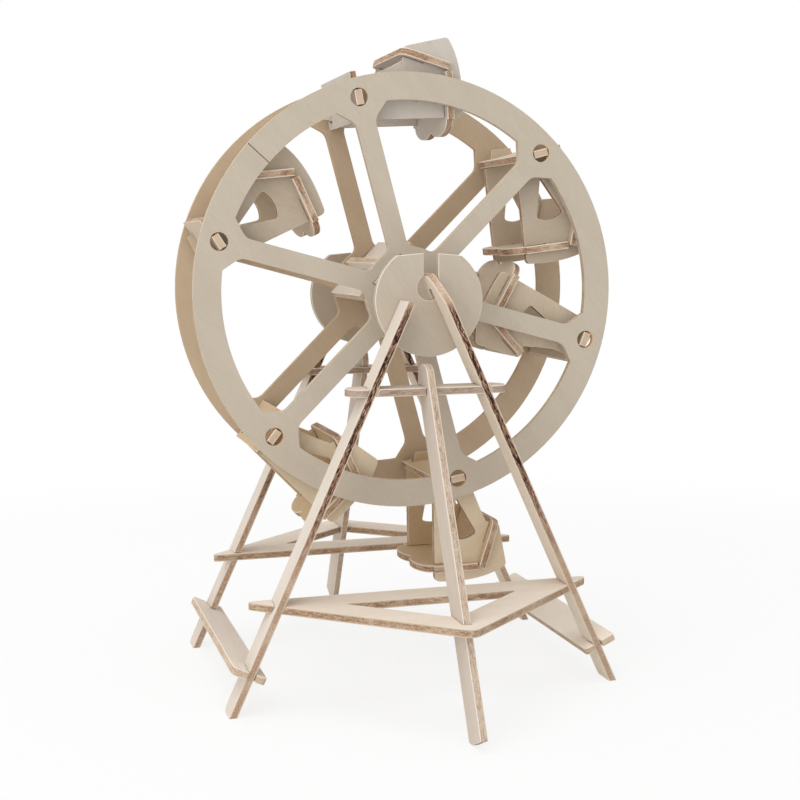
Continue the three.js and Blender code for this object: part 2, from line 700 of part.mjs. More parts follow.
const FLOOR_PLACE = levelPlace(-FLOOR_DROP);
const ROOF_PLACE = placeSheet(
  new THREE.Vector3(),
  new THREE.Vector3(Math.cos(ROOF_PITCH), 0, Math.sin(ROOF_PITCH)),
  Y_AXIS,
);
const BACK_PLACE = placeSheet(
  new THREE.Vector3(BACK_FOOT, 0, -(FLOOR_DROP + BACK_LIFT)),
  Y_AXIS,
  new THREE.Vector3(Math.sin(BACK_LEAN), 0, Math.cos(BACK_LEAN)),
);

function sidePlace(side) {
  return placeSheet(new THREE.Vector3(0, side * SIDE_PLACE, 0), X_AXIS, Z_AXIS);
}

// Side -1 is the near one
function cabinSidePlate(side) {
  const wide = CABIN_HALF_WIDTH + OVERRUN;
  return carve(sheet(sideOutline(), sidePlace(side)), [
    slab(FLOOR_PLACE, [-(SIDE_FRONT + OVERRUN), -wide], [FLOOR_LAP + GAP / 2, wide]),
    slab(BACK_PLACE, [-wide, BACK_RISE - GAP / 2], [wide, BACK_LENGTH + OVERRUN]),
  ]);
}

// Floor with two rounded lobes at its front edge
function floorPlate() {
  const rear = BACK_FOOT - BACK_LIFT * Math.tan(BACK_LEAN) - (PLY / 2) / Math.cos(BACK_LEAN) - GAP;
  const shape = new THREE.Shape();
  shape.moveTo(rear, -CABIN_HALF_WIDTH);
  shape.lineTo(rear, CABIN_HALF_WIDTH);
  shape.lineTo(-FLOOR_FRONT, CABIN_HALF_WIDTH);
  const half = LOBE_WIDTH / 2;
  const place = half - LOBE_LAP;
  const meet = Math.asin(place / half);
  const start = Math.PI / 2;
  const end = 3 * Math.PI / 2;
  shape.absellipse(-FLOOR_FRONT, place, LOBE_LENGTH, half, start, Math.PI + meet, false, 0);
  shape.absellipse(-FLOOR_FRONT, -place, LOBE_LENGTH, half, Math.PI - meet, end, false, 0);
  shape.lineTo(-FLOOR_FRONT, -CABIN_HALF_WIDTH);
  shape.closePath();
  const plate = sheet(shape, FLOOR_PLACE);
  return carve(plate, LEG_SIDES.map((side) => slab(
    sidePlace(side), [FLOOR_LAP - GAP / 2, -(SIDE_DROP + OVERRUN)], [rear + OVERRUN, 0],
  )));
}

function backPlate() {
  const outline = roundedShape([
    [-CABIN_HALF_WIDTH, 0],
    [CABIN_HALF_WIDTH, 0],
    [CABIN_HALF_WIDTH, BACK_LENGTH, BACK_CORNER],
    [-CABIN_HALF_WIDTH, BACK_LENGTH, BACK_CORNER],
  ]);
  const half = SLOT / 2;
  const plate = sheet(outline, BACK_PLACE);
  return carve(plate, LEG_SIDES.map((side) => slab(
    BACK_PLACE,
    [side * SIDE_PLACE - half, -OVERRUN],
    [side * SIDE_PLACE + half, BACK_RISE + GAP / 2],
  )));
}

// Roof whose end tabs are the cabin's pivots, with a slot for the nose of each side
function roofPlate() {
  const tab = PIVOT_TAB_WIDTH / 2;
  const outline = roundedShape([
    [ROOF_REAR, -CABIN_HALF_WIDTH],
    [ROOF_REAR, CABIN_HALF_WIDTH],
    [tab, CABIN_HALF_WIDTH],
    [tab, WHEEL_FACE],
    [-tab, WHEEL_FACE],
    [-tab, CABIN_HALF_WIDTH],
    [-ROOF_FRONT, CABIN_HALF_WIDTH],
    [-ROOF_FRONT, -CABIN_HALF_WIDTH],
    [-tab, -CABIN_HALF_WIDTH],
    [-tab, -WHEEL_FACE],
    [tab, -WHEEL_FACE],
    [tab, -CABIN_HALF_WIDTH],
  ]);
  const half = SLOT / 2;
  return carve(sheet(outline, ROOF_PLACE), LEG_SIDES.map((side) => slab(
    ROOF_PLACE,
    [-(NOSE_FRONT + GAP), side * SIDE_PLACE - half],
    [NOSE_REAR + GAP, side * SIDE_PLACE + half],
  )));
}

// Cabin plates, made once and hung six times
const CABIN_PLATES = {
  near_side: cabinSidePlate(-1),
  far_side: cabinSidePlate(1),
  floor: floorPlate(),
  back: backPlate(),
  roof: roofPlate(),
};

// Cabin on its pivot. A turn is counted the way that takes +X to +Z.
function cabin(number, angle, turn) {
  const group = new THREE.Group();
  for (const [piece, plate] of Object.entries(CABIN_PLATES)) {
    group.add(meshOf(`cabin_${number}_${piece}`, plate, CABIN_WOOD));
  }
  const [x, z] = offRay(angle, PIVOT_RADIUS, 0);
  group.position.set(x, 0, z);
  group.rotation.y = -turn;
  return group;
}

// Both wheels, the hub between them and the cabins
function wheelAssembly() {
  const group = new THREE.Group();
  group.position.z = AXLE_HEIGHT;
  group.add(meshOf('near_wheel', wheelPlate(-1), WHEEL_WOOD));
  group.add(meshOf('far_wheel', wheelPlate(1), WHEEL_WOOD));
  group.add(meshOf('hub_upper_slat', hubSlatPlate(SLAT_TURNS[0]), FACE_WOOD));
  group.add(meshOf('hub_lower_slat', hubSlatPlate(SLAT_TURNS[1]), FACE_WOOD));
  group.add(meshOf('hub_core_plate', hubCorePlate(), FACE_WOOD));
  CABIN_TURNS.forEach((turn, index) => {
    const angle = FIRST_SPOKE_ANGLE - index * FULL_TURN / SPOKE_COUNT;
    group.add(cabin(index + 1, angle, turn));
  });
  return group;
}

const ferrisWheel = new THREE.Group();
const farFrame = endFrame('far', 'far_right_leg', 'far_left_leg');
farFrame.rotation.z = Math.PI;
ferrisWheel.add(endFrame('near', 'near_left_leg', 'near_right_leg'));
ferrisWheel.add(farFrame);
ferrisWheel.add(meshOf('left_tie_plate', tiePlate(-1), FACE_WOOD));
ferrisWheel.add(meshOf('right_tie_plate', tiePlate(1), FACE_WOOD));
ferrisWheel.add(wheelAssembly());

export default ferrisWheel;
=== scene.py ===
"""Plywood toy ferris wheel in a plain studio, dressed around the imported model.

Lengths are metres. +Z is up, the near end frame is on the -Y side, and the wheel axis runs along Y.
"""

from __future__ import annotations

import json
import logging
import math
from dataclasses import dataclass, field, replace
from enum import Enum

import bmesh
import bpy
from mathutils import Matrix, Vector

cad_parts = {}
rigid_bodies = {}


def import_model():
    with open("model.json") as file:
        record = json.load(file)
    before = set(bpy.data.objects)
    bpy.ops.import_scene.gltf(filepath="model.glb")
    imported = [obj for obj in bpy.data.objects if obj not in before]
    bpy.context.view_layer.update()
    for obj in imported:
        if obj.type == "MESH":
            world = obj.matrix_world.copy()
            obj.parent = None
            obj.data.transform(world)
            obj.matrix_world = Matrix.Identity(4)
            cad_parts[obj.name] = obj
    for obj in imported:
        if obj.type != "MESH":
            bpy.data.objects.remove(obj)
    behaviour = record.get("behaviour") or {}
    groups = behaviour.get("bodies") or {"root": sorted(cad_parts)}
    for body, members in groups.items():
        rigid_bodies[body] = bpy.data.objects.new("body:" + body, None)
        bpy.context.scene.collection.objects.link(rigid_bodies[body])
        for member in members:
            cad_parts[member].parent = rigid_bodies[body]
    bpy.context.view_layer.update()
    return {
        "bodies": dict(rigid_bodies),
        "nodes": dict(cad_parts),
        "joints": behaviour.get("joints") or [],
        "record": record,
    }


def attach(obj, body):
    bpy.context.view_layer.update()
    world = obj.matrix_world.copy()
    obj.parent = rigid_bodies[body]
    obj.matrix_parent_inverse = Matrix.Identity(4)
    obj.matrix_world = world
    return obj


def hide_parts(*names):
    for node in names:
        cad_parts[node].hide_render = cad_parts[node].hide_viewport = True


LOG = logging.getLogger("ferris_wheel")

MM = 0.001
PLY = 3.0 * MM
AXLE_HEIGHT = 161.0 * MM
WHEEL_GRAIN = math.radians(-52)
FINE_DETAIL = 3.0
PLAIN_DETAIL = 2.0
ACROSS = Vector((1.0, 0.0, 0.0))
AXIS = Vector((0.0, 1.0, 0.0))
UP = Vector((0.0, 0.0, 1.0))
WHITE = (1.0, 1.0, 1.0, 1.0)
Sizes = tuple[float, float, float]
Colour = tuple[float, float, float]
Band = tuple[float, float]


def from_screen(red: int, green: int, blue: int) -> Colour:
    """Linear colour of a screen colour.

    Args:
        red: Red from 0 to 255.
        green: Green from 0 to 255.
        blue: Blue from 0 to 255.

    Returns:
        The colour in linear light.
    """
    toe, slope, offset, gamma = 0.04045, 12.92, 0.055, 2.4
    shares = (red / 255, green / 255, blue / 255)
    return tuple(s / slope if s <= toe else ((s + offset) / (1 + offset)) ** gamma for s in shares)


class Lie(Enum):
    """How the face grain lies on a plate."""

    ALONG = "along the plate's longest direction"
    SLANT = "down to the right across a wheel"
    LEVEL = "level across the plate"


@dataclass(frozen=True)
class Birch:
    """Birch plywood as cut from its sheet: pale faces, browner edges and pale arrises, whose colour
    is partly pale fibres and partly a painted highlight.

    The core of an edge is scorched and cracked from crack_full up to crack_fade, and whole below
    crack_start and above crack_gone. A tab that reaches further than pale_beyond from the toy's
    middle plane ends pale.
    """

    slot: str
    face: Colour
    shade: Colour
    core: Colour
    veneer: Colour
    crack: Colour = from_screen(74, 42, 28)
    # Arris colour: pale fuzzy fibres plus a painted highlight along each border.
    arris: Colour = from_screen(234, 225, 211)
    # Bore walls: a light brown, brighter than their shade, as painted fill light deep inside the
    # bores.
    lit_bore: Colour = from_screen(246, 204, 154)
    scorch: Colour = from_screen(140, 92, 66)
    scorched: float = 0.0
    grain: float = 0.4
    cracks: float = 0.25
    crack_start: float = -1.0
    crack_full: float = -0.9
    crack_fade: float = 0.9
    crack_gone: float = 1.0
    crack_length: float = 3.2 * MM
    crack_width: float = 0.45 * MM
    crack_open: float = 0.53
    pale_beyond: float = 1.0
    roughness: float = 0.72


LEG_BIRCH = Birch(
    "frame_birch",
    face=from_screen(220, 210, 198),
    shade=from_screen(202, 187, 168),
    core=from_screen(176, 144, 118),
    veneer=from_screen(210, 190, 168),
    crack=from_screen(46, 20, 12),
    scorched=0.8,
    cracks=1.0,
    crack_start=45.0 * MM,
    crack_full=95.0 * MM,
    crack_fade=154.0 * MM,
    crack_gone=158.0 * MM,
    crack_length=2.8 * MM,
    crack_width=0.36 * MM,
    crack_open=0.47,
)
# Painted light: the right legs get a lighter copy of the leg birch, because their inner faces stand
# brighter in the light.
LIT_RIGHT_LEG_BIRCH = replace(
    LEG_BIRCH,
    face=from_screen(238, 226, 210),
    shade=from_screen(220, 204, 182),
)
STRUT_BIRCH = Birch(
    "frame_birch",
    face=from_screen(208, 196, 183),
    shade=from_screen(194, 178, 160),
    core=from_screen(188, 164, 142),
    veneer=from_screen(206, 190, 172),
    crack=from_screen(138, 98, 78),
    cracks=0.5,
)
CROSSBAR_BIRCH = replace(
    STRUT_BIRCH,
    core=from_screen(160, 136, 116),
    veneer=from_screen(186, 168, 150),
)
TIE_BIRCH = Birch(
    "frame_birch",
    face=from_screen(224, 213, 201),
    shade=from_screen(206, 190, 172),
    core=from_screen(192, 164, 136),
    veneer=from_screen(216, 198, 174),
)
# Painted light: the right tie plate gets a lighter copy of the tie birch, for its brighter lit
# face.
LIT_RIGHT_TIE_BIRCH = replace(
    TIE_BIRCH,
    face=from_screen(238, 227, 213),
    shade=from_screen(220, 205, 187),
)
WHEEL_BIRCH = Birch(
    "wheel_birch",
    face=from_screen(196, 184, 167),
    shade=from_screen(178, 164, 145),
    core=from_screen(184, 164, 138),
    veneer=from_screen(208, 194, 172),
    # Brighter arris: a painted highlight along the disc and wheel borders.
    arris=from_screen(240, 231, 217),
    grain=0.5,
    cracks=0.12,
)
# Painted shade: the far wheel gets a darker, warmer copy of the wheel birch, for the shade and warm
# bounced light behind the near wheel.
SHADED_FAR_WHEEL_BIRCH = replace(
    WHEEL_BIRCH,
    face=from_screen(198, 177, 150),
    shade=from_screen(180, 155, 125),
    core=from_screen(182, 150, 116),
    veneer=from_screen(204, 178, 146),
    arris=from_screen(222, 203, 176),
)
BRACE_BIRCH = Birch(
    "brace_birch",
    face=from_screen(228, 216, 202),
    shade=from_screen(208, 190, 168),
    core=from_screen(158, 124, 96),
    veneer=from_screen(204, 182, 156),
    crack=from_screen(88, 54, 36),
    cracks=0.45,
)
CABIN_BIRCH = Birch(
    "cabin_birch",
    face=from_screen(204, 189, 168),
    shade=from_screen(184, 163, 135),
    core=from_screen(152, 110, 84),
    veneer=from_screen(210, 188, 162),
    crack=from_screen(92, 52, 34),
    grain=0.5,
    cracks=0.45,
    crack_length=6.0 * MM,
)
# Painted light: a paler copy of the cabin birch for the brighter lit cabin.
LIT_PALE_CABIN_BIRCH = replace(
    CABIN_BIRCH,
    face=from_screen(206, 198, 188),
    shade=from_screen(186, 173, 157),
)
SHADED_CABIN_BIRCH = replace(
    CABIN_BIRCH,
    face=from_screen(190, 176, 157),
    shade=from_screen(170, 152, 129),
)
# Painted light: a lighter, creamier copy of the cabin birch for the lit near sides of cabins 4 and
# 5.
LIT_CREAM_CABIN_BIRCH = replace(
    CABIN_BIRCH,
    face=from_screen(218, 202, 176),
    shade=from_screen(202, 180, 146),
)
# Painted shade: a darker, warmer copy of the cabin birch for the shaded far sides, floors, backs
# and roofs of cabins 4 and 5.
SHADED_WARM_CABIN_BIRCH = replace(
    CABIN_BIRCH,
    face=from_screen(208, 184, 150),
    shade=from_screen(186, 156, 116),
)
# Near and inner birch of each cabin in turn. The pale, cream, shaded and warm copies are painted
# light and shade on one and the same wood.
CABIN_BIRCHES = (
    (LIT_PALE_CABIN_BIRCH, LIT_PALE_CABIN_BIRCH),
    (SHADED_CABIN_BIRCH, CABIN_BIRCH),
    (CABIN_BIRCH, CABIN_BIRCH),
    (LIT_CREAM_CABIN_BIRCH, SHADED_WARM_CABIN_BIRCH),
    (LIT_CREAM_CABIN_BIRCH, SHADED_WARM_CABIN_BIRCH),
    (SHADED_CABIN_BIRCH, CABIN_BIRCH),
)


class Signal:
    """Output socket of a node whose maths reads as Python."""

    def __init__(self, sheet: NodeSheet, socket: bpy.types.NodeSocket) -> None:
        """Keeps the sheet and the socket.

        Args:
            sheet: The node sheet that the socket is on.
            socket: The output socket.
        """
        self.sheet = sheet
        self.socket = socket

    def _math(self, operation: str, first: Value, second: Value = 0.0) -> Signal:
        """Adds a Math node.

        Args:
            operation: The node's operation.
            first: Its first value.
            second: Its second value.

        Returns:
            The node's result.
        """
        return self.sheet.node("ShaderNodeMath", {"operation": operation}, {0: first, 1: second})

    def __add__(self, other: Value) -> Signal:
        """Sum."""
        return self._math("ADD", self, other)

    def __radd__(self, other: Value) -> Signal:
        """Sum with a number on the left."""
        return self._math("ADD", other, self)

    def __sub__(self, other: Value) -> Signal:
        """Difference."""
        return self._math("SUBTRACT", self, other)

    def __rsub__(self, other: Value) -> Signal:
        """Difference from a number."""
        return self._math("SUBTRACT", other, self)

    def __mul__(self, other: Value) -> Signal:
        """Product."""
        return self._math("MULTIPLY", self, other)

    def __rmul__(self, other: Value) -> Signal:
        """Product with a number on the left."""
        return self._math("MULTIPLY", other, self)

    def __gt__(self, other: Value) -> Signal:
        """1 where the signal is greater, else 0."""
        return self._math("GREATER_THAN", self, other)

    def __lt__(self, other: Value) -> Signal:
        """1 where the signal is less, else 0."""
        return self._math("LESS_THAN", self, other)

    def __abs__(self) -> Signal:
        """Size without its sign."""
        return self._math("ABSOLUTE", self)

    def ramp(self, low: float, high: float) -> Signal:
        """Smooth step from 0 at low to 1 at high.

        Args:
            low: Value that gives 0.
            high: Value that gives 1.

        Returns:
            The stepped signal.
        """
        settings = {"interpolation_type": "SMOOTHSTEP"}
        sockets = {"Value": self, "From Min": low, "From Max": high, "To Min": 0.0, "To Max": 1.0}
        return self.sheet.node("ShaderNodeMapRange", settings, sockets)

    def along(self, direction: Vector) -> Signal:
        """Share of a vector signal along a direction.

        Args:
            direction: The direction.

        Returns:
            The dot product.
        """
        settings = {"operation": "DOT_PRODUCT"}
        sockets = {0: self, 1: tuple(direction)}
        return self.sheet.node("ShaderNodeVectorMath", settings, sockets, "Value")


Value = Signal | float | tuple


class NodeSheet:
    """Nodes of one material or of the world."""

    def __init__(self, holder: bpy.types.Material | bpy.types.World) -> None:
        """Empties the holder's node tree.

        Args:
            holder: What the nodes are for.
        """
        self.holder = holder
        holder.use_nodes = True
        self.tree = holder.node_tree
        self.tree.nodes.clear()

    def node(self, kind: str, settings: dict, sockets: dict, output: str | int = 0) -> Signal:
        """Adds a node.

        Args:
            kind: The node's type.
            settings: Its properties, which are set first.
            sockets: Values or links of its input sockets, by name or number.
            output: The output socket that is wanted.

        Returns:
            That output.
        """
        made = self.tree.nodes.new(kind)
        for key, setting in settings.items():
            setattr(made, key, setting)
        for key, value in sockets.items():
            if isinstance(value, Signal):
                self.tree.links.new(value.socket, made.inputs[key])
            else:
                made.inputs[key].default_value = value
        return Signal(self, made.outputs[output])

    def blend(self, factor: Value, first: Value, second: Value) -> Signal:
        """Mixes two colours.

        Args:
            factor: 0 gives the first, 1 the second.
            first: The first colour.
            second: The second colour.

        Returns:
            The mixed colour.
        """
        first, second = (v if isinstance(v, Signal) else (*v, 1.0) for v in (first, second))
        sockets = {0: factor, 6: first, 7: second}
        return self.node("ShaderNodeMix", {"data_type": "RGBA"}, sockets, 2)

    def noise(self, place: Signal, scale: float, detail: float) -> Signal:
        """Noise at a place.

        Args:
            place: Vector signal.
            scale: Its scale.
            detail: Octaves.

        Returns:
            Noise about one half.
        """
        sockets = {"Vector": place, "Scale": scale, "Detail": detail}
        return self.node("ShaderNodeTexNoise", {}, sockets)

    def vector(self, x: Value, y: Value, z: Value) -> Signal:
        """Joins three values into a vector.

        Args:
            x: First value.
            y: Second value.
            z: Third value.

        Returns:
            The vector.
        """
        return self.node("ShaderNodeCombineXYZ", {}, {0: x, 1: y, 2: z})

    def seen(self) -> Signal:
        """Rays that show the surround itself.

        Returns:
            1 for camera, mirror and see-through rays, else 0.
        """
        camera, mirror, through = (
            self.node("ShaderNodeLightPath", {}, {}, name)
            for name in ("Is Camera Ray", "Is Glossy Ray", "Is Transmission Ray")
        )
        return (camera + mirror + through) > 0.5

    def finish(self, shader: Signal, kind: str = "ShaderNodeOutputMaterial") -> None:
        """Ends the sheet with its output.

        Args:
            shader: What the surface or the world shows.
            kind: The output node's type.
        """
        made = self.tree.nodes.new(kind)
        self.tree.links.new(shader.socket, made.inputs["Surface"])


@dataclass(frozen=True)
class Plate:
    """Where a sheet of plywood lies: its normal, its grain and its middle plane."""

    name: str
    normal: Vector
    grain: Vector
    middle: float

    @classmethod
    def of(cls, obj: bpy.types.Object, lie: Lie) -> Plate:
        """Measures a plate from its solid.

        Args:
            obj: The CAD node.
            lie: How its grain lies.

        Returns:
            The plate.
        """
        sums: dict[tuple, tuple[float, Vector]] = {}
        for face in obj.data.polygons:
            normal = Vector(face.normal)
            lead = max(range(3), key=lambda axis: abs(normal[axis]))
            if normal[lead] < 0:
                normal.negate()
            key = tuple(round(value, 2) for value in normal)
            area, total = sums.get(key, (0.0, Vector()))
            sums[key] = (area + face.area, total + normal * face.area)
        _, total = max(sums.values(), key=lambda pair: pair[0])
        normal = total.normalized()
        depths = [normal.dot(vertex.co) for vertex in obj.data.vertices]
        middle = (min(depths) + max(depths)) / 2
        return cls(obj.name, normal, cls._grain(obj, normal, lie), middle)

    @staticmethod
    def _grain(obj: bpy.types.Object, normal: Vector, lie: Lie) -> Vector:
        """Finds the direction of the grain.

        Args:
            obj: The CAD node.
            normal: The plate's normal.
            lie: How its grain lies.

        Returns:
            A direction in the plate's plane.
        """
        if lie is Lie.SLANT:
            wanted = Vector((math.cos(WHEEL_GRAIN), 0.0, math.sin(WHEEL_GRAIN)))
            return (wanted - normal * wanted.dot(normal)).normalized()
        first = normal.orthogonal().normalized()
        second = normal.cross(first)
        best, reach = first, 0.0
        steps = 90
        for step in range(steps):
            turn = math.pi * step / steps
            way = first * math.cos(turn) + second * math.sin(turn)
            spans = [way.dot(vertex.co) for vertex in obj.data.vertices]
            if max(spans) - min(spans) > reach:
                best, reach = way, max(spans) - min(spans)
        return best if lie is Lie.ALONG else normal.cross(best).normalized()


@dataclass(frozen=True)
class Kerf:
    """Thin cut right across a wheel, on a ray from its middle."""

    middle: Vector
    angle: float
    start: float
    half_width: float = 0.2 * MM

    def mask(self, place: Signal) -> Signal:
        """Where the cut shows.

        Args:
            place: Object place.

        Returns:
            1 in the cut, else 0.
        """
        ray = Vector((math.cos(self.angle), 0.0, math.sin(self.angle)))
        side = Vector((-ray.z, 0.0, ray.x))
        off = abs(place.along(side) - self.middle.dot(side))
        out = place.along(ray) - self.middle.dot(ray)
        return (off < self.half_width) * (out > self.start)


@dataclass(frozen=True)
class BoreRing:
    """Ring about a wheel's middle that holds its pivot bores."""

    middle: Vector
    inner: float
    outer: float

    def mask(self, place: Signal) -> Signal:
        """Where the ring lies.

        Args:
            place: Object place.

        Returns:
            1 in the ring, else 0.
        """
        across = place.along(ACROSS) - self.middle.x
        up = place.along(UP) - self.middle.z
        reach = across * across + up * up
        return (reach > self.inner**2) * (reach < self.outer**2)


@dataclass(frozen=True)
class FaceLook:
    """How the grain, the streaks and the pores show on a face veneer."""

    fibre_width: float = 0.27 * MM
    fibre_length: float = 4.5 * MM
    fibre_band: Band = (0.38, 0.7)
    streak_length: float = 52.0 * MM
    streak_width: float = 26.0 / 3 * MM
    streak_band: Band = (0.32, 0.72)
    streak_share: float = 0.4
    tone_share: float = 0.62
    pore_fibre: float = 0.69
    pore_streak: float = 0.46
    pore_share: float = 0.3


@dataclass(frozen=True)
class CutLook:
    """How the veneers, the core and its cracks show on a cut edge.

    Bands that run from the middle plane count 0 there and 1 at the sheet's faces.
    """

    veneer_band: Band = (0.6, 0.76)
    veneer_share: float = 0.85
    speckle_size: float = 0.5 * MM
    speckle_band: Band = (0.45, 0.66)
    speckle_share: float = 0.55
    dark_band: Band = (0.46, 0.36)
    dark_share: float = 0.35
    patch_size: float = 11.0 * MM
    patch_band: Band = (0.4, 0.62)
    patch_share: float = 0.55
    fleck_length: float = 1.8 * MM
    fleck_width: float = 0.4 * MM
    fleck_band: Band = (0.54, 0.62)
    fleck_share: float = 0.75
    crack_rise: float = 0.07
    crack_band: Band = (0.66, 0.82)
    tab_share: float = 0.75
    lit_bore_share: float = 0.8


@dataclass(frozen=True)
class PlyFinish:
    """Material of one plate in one birch."""

    birch: Birch
    plate: Plate
    kerf: Kerf | None = None
    bores: BoreRing | None = None
    face_look: FaceLook = FaceLook()
    cut_look: CutLook = CutLook()
    face_band: Band = (0.9, 0.98)
    cut_band: Band = (0.12, 0.3)
    kerf_share: float = 0.85
    fibre_relief: float = 0.5
    relief_strength: float = 0.35
    relief_depth: float = 0.12 * MM
    cut_roughness: float = 0.12
    specular: float = 0.3

    def material(self) -> bpy.types.Material:
        """Builds the material.

        Returns:
            The material.
        """
        name = f"{self.birch.slot}_{self.plate.name}"
        sheet = NodeSheet(bpy.data.materials.new(name))
        place = sheet.node("ShaderNodeTexCoord", {}, {}, "Object")
        normal = sheet.node("ShaderNodeTexCoord", {}, {}, "Normal")
        facing = abs(normal.along(self.plate.normal))
        on_face = facing.ramp(*self.face_band)
        on_cut = 1.0 - facing.ramp(*self.cut_band)
        look = self.face_look
        grain = (look.fibre_length, look.fibre_width, PLY)
        fibres = self._stretched(sheet, place, grain, PLAIN_DETAIL)
        face = self._face(sheet, place, fibres)
        cut, split = self._cut(sheet, place)
        # The bevel strip takes the arris colour: pale fibres plus a painted highlight.
        colour = sheet.blend(on_face, sheet.blend(on_cut, self.birch.arris, cut), face)
        relief = fibres * (self.fibre_relief * self.birch.grain) - split * on_cut
        if self.kerf is not None:
            kerf = self.kerf.mask(place) * on_face
            colour = sheet.blend(kerf * self.kerf_share, colour, self.birch.crack)
            relief = relief - kerf
        sockets = {
            "Strength": self.relief_strength,
            "Distance": self.relief_depth,
            "Height": relief,
        }
        bump = sheet.node("ShaderNodeBump", {}, sockets)
        shader = sheet.node(
            "ShaderNodeBsdfPrincipled",
            {},
            {
                "Base Color": colour,
                "Roughness": (1.0 - on_face) * self.cut_roughness + self.birch.roughness,
                "Normal": bump,
                "Specular IOR Level": self.specular,
            },
        )
        sheet.finish(shader)
        return sheet.holder

    def _stretched(self, sheet: NodeSheet, place: Signal, size: Sizes, detail: float) -> Signal:
        """Noise drawn out along the grain.

        Args:
            sheet: The node sheet.
            place: Object place.
            size: Its size along the grain, across the grain and through the plate.
            detail: Octaves.

        Returns:
            Noise about one half.
        """
        plate = self.plate
        ways = (plate.grain, plate.normal.cross(plate.grain), plate.normal)
        shares = (place.along(way) * (1 / span) for way, span in zip(ways, size))
        return sheet.noise(sheet.vector(*shares), 1.0, detail)

    def _face(self, sheet: NodeSheet, place: Signal, fibres: Signal) -> Signal:
        """Colour of the face veneer.

        Args:
            sheet: The node sheet.
            place: Object place.
            fibres: Fine grain.

        Returns:
            The colour.
        """
        birch, look = self.birch, self.face_look
        size = (look.streak_length, look.streak_width, PLY / 2)
        streaks = self._stretched(sheet, place, size, FINE_DETAIL)
        broad = streaks.ramp(*look.streak_band) * look.streak_share
        tone = broad + fibres.ramp(*look.fibre_band) * birch.grain
        face = sheet.blend(tone * look.tone_share, birch.face, birch.shade)
        pores = (fibres > look.pore_fibre) * (streaks > look.pore_streak)
        return sheet.blend(pores * look.pore_share, face, birch.core)

    def _cut(self, sheet: NodeSheet, place: Signal) -> tuple[Signal, Signal]:
        """Colour of the cut edge: outer veneers, speckled core and cracks between the plies.

        Args:
            sheet: The node sheet.
            place: Object place.

        Returns:
            The colour, and where a crack is open.
        """
        birch, plate, look = self.birch, self.plate, self.cut_look
        layer = abs(place.along(plate.normal) - plate.middle) * (2 / PLY)
        height = place.along(UP)
        opening = height.ramp(birch.crack_start, birch.crack_full)
        opening = opening * height.ramp(birch.crack_gone, birch.crack_fade)
        core = self._core(sheet, place, opening)
        outer = layer.ramp(*look.veneer_band)
        cut = sheet.blend(outer * look.veneer_share, core, birch.veneer)
        size = (birch.crack_length, birch.crack_length, birch.crack_width)
        torn = self._stretched(sheet, place, size, FINE_DETAIL)
        torn = torn.ramp(birch.crack_open, birch.crack_open + look.crack_rise)
        split = torn * (1.0 - layer.ramp(*look.crack_band)) * opening
        cut = sheet.blend(split * birch.cracks, cut, birch.crack)
        tab = abs(place.along(AXIS)) > birch.pale_beyond
        cut = sheet.blend(tab * look.tab_share, cut, birch.veneer)
        if self.bores is not None:
            # Painted light: the bore walls in the ring take the brightened bore colour.
            cut = sheet.blend(self.bores.mask(place) * look.lit_bore_share, cut, birch.lit_bore)
        return cut, split

    def _core(self, sheet: NodeSheet, place: Signal, opening: Signal) -> Signal:
        """Colour of the core between the outer veneers.

        Args:
            sheet: The node sheet.
            place: Object place.
            opening: How far the core is scorched and cracked there.

        Returns:
            The colour.
        """
        birch, look = self.birch, self.cut_look
        speckle = sheet.noise(place, 1 / look.speckle_size, FINE_DETAIL)
        patches = sheet.noise(place, 1 / look.patch_size, PLAIN_DETAIL)
        pale = speckle.ramp(*look.speckle_band) * look.speckle_share
        core = sheet.blend(pale, birch.core, birch.veneer)
        core = sheet.blend(patches.ramp(*look.patch_band) * look.patch_share, core, birch.veneer)
        core = sheet.blend(speckle.ramp(*look.dark_band) * look.dark_share, core, birch.crack)
        core = sheet.blend(opening * birch.scorched, core, birch.scorch)
        size = (look.fleck_length, look.fleck_width, look.fleck_width)
        flecks = self._stretched(sheet, place, size, PLAIN_DETAIL).ramp(*look.fleck_band)
        return sheet.blend(flecks * opening * look.fleck_share, core, birch.veneer)


@dataclass
class Dresser:
    """Makes the shown copy of a plate, with its arrises eased, in place of the CAD node."""

    frame: dict
    arris: float = 0.22 * MM
    arris_steps: int = 2
    sharp: float = math.radians(40)
    flat: float = math.radians(0.2)
    weld: float = 0.002 * MM

    def dress(
        self,
        node: str,
        body: str,
        birch: Birch,
        lie: Lie,
        kerf: Kerf | None = None,
        bores: BoreRing | None = None,
    ) -> None:
        """Replaces one node by its eased copy.

        Args:
            node: The CAD node.
            body: The CAD body that it rides on.
            birch: Its birch.
            lie: How its grain lies.
            kerf: A cut across it.
            bores: Ring that holds its bores.
        """
        solid = self.frame["nodes"][node]
        plate = Plate.of(solid, lie)
        mesh = bpy.data.meshes.new(f"{node}_sheet")
        shape = bmesh.new()
        shape.from_mesh(solid.data)
        bmesh.ops.remove_doubles(shape, verts=shape.verts, dist=self.weld)
        bmesh.ops.dissolve_limit(
            shape, angle_limit=self.flat, verts=shape.verts, edges=shape.edges
        )
        shape.to_mesh(mesh)
        shape.free()
        piece = bpy.data.objects.new(f"{node}_sheet", mesh)
        bpy.context.scene.collection.objects.link(piece)
        easing = piece.modifiers.new("eased arris", "BEVEL")
        easing.width = self.arris
        easing.segments = self.arris_steps
        easing.limit_method = "ANGLE"
        easing.angle_limit = self.sharp
        easing.use_clamp_overlap = True
        piece.data.materials.append(PlyFinish(birch, plate, kerf, bores).material())
        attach(piece, body)
        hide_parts(node)
        LOG.info("%s: %s on %s", piece.name, birch.slot, body)


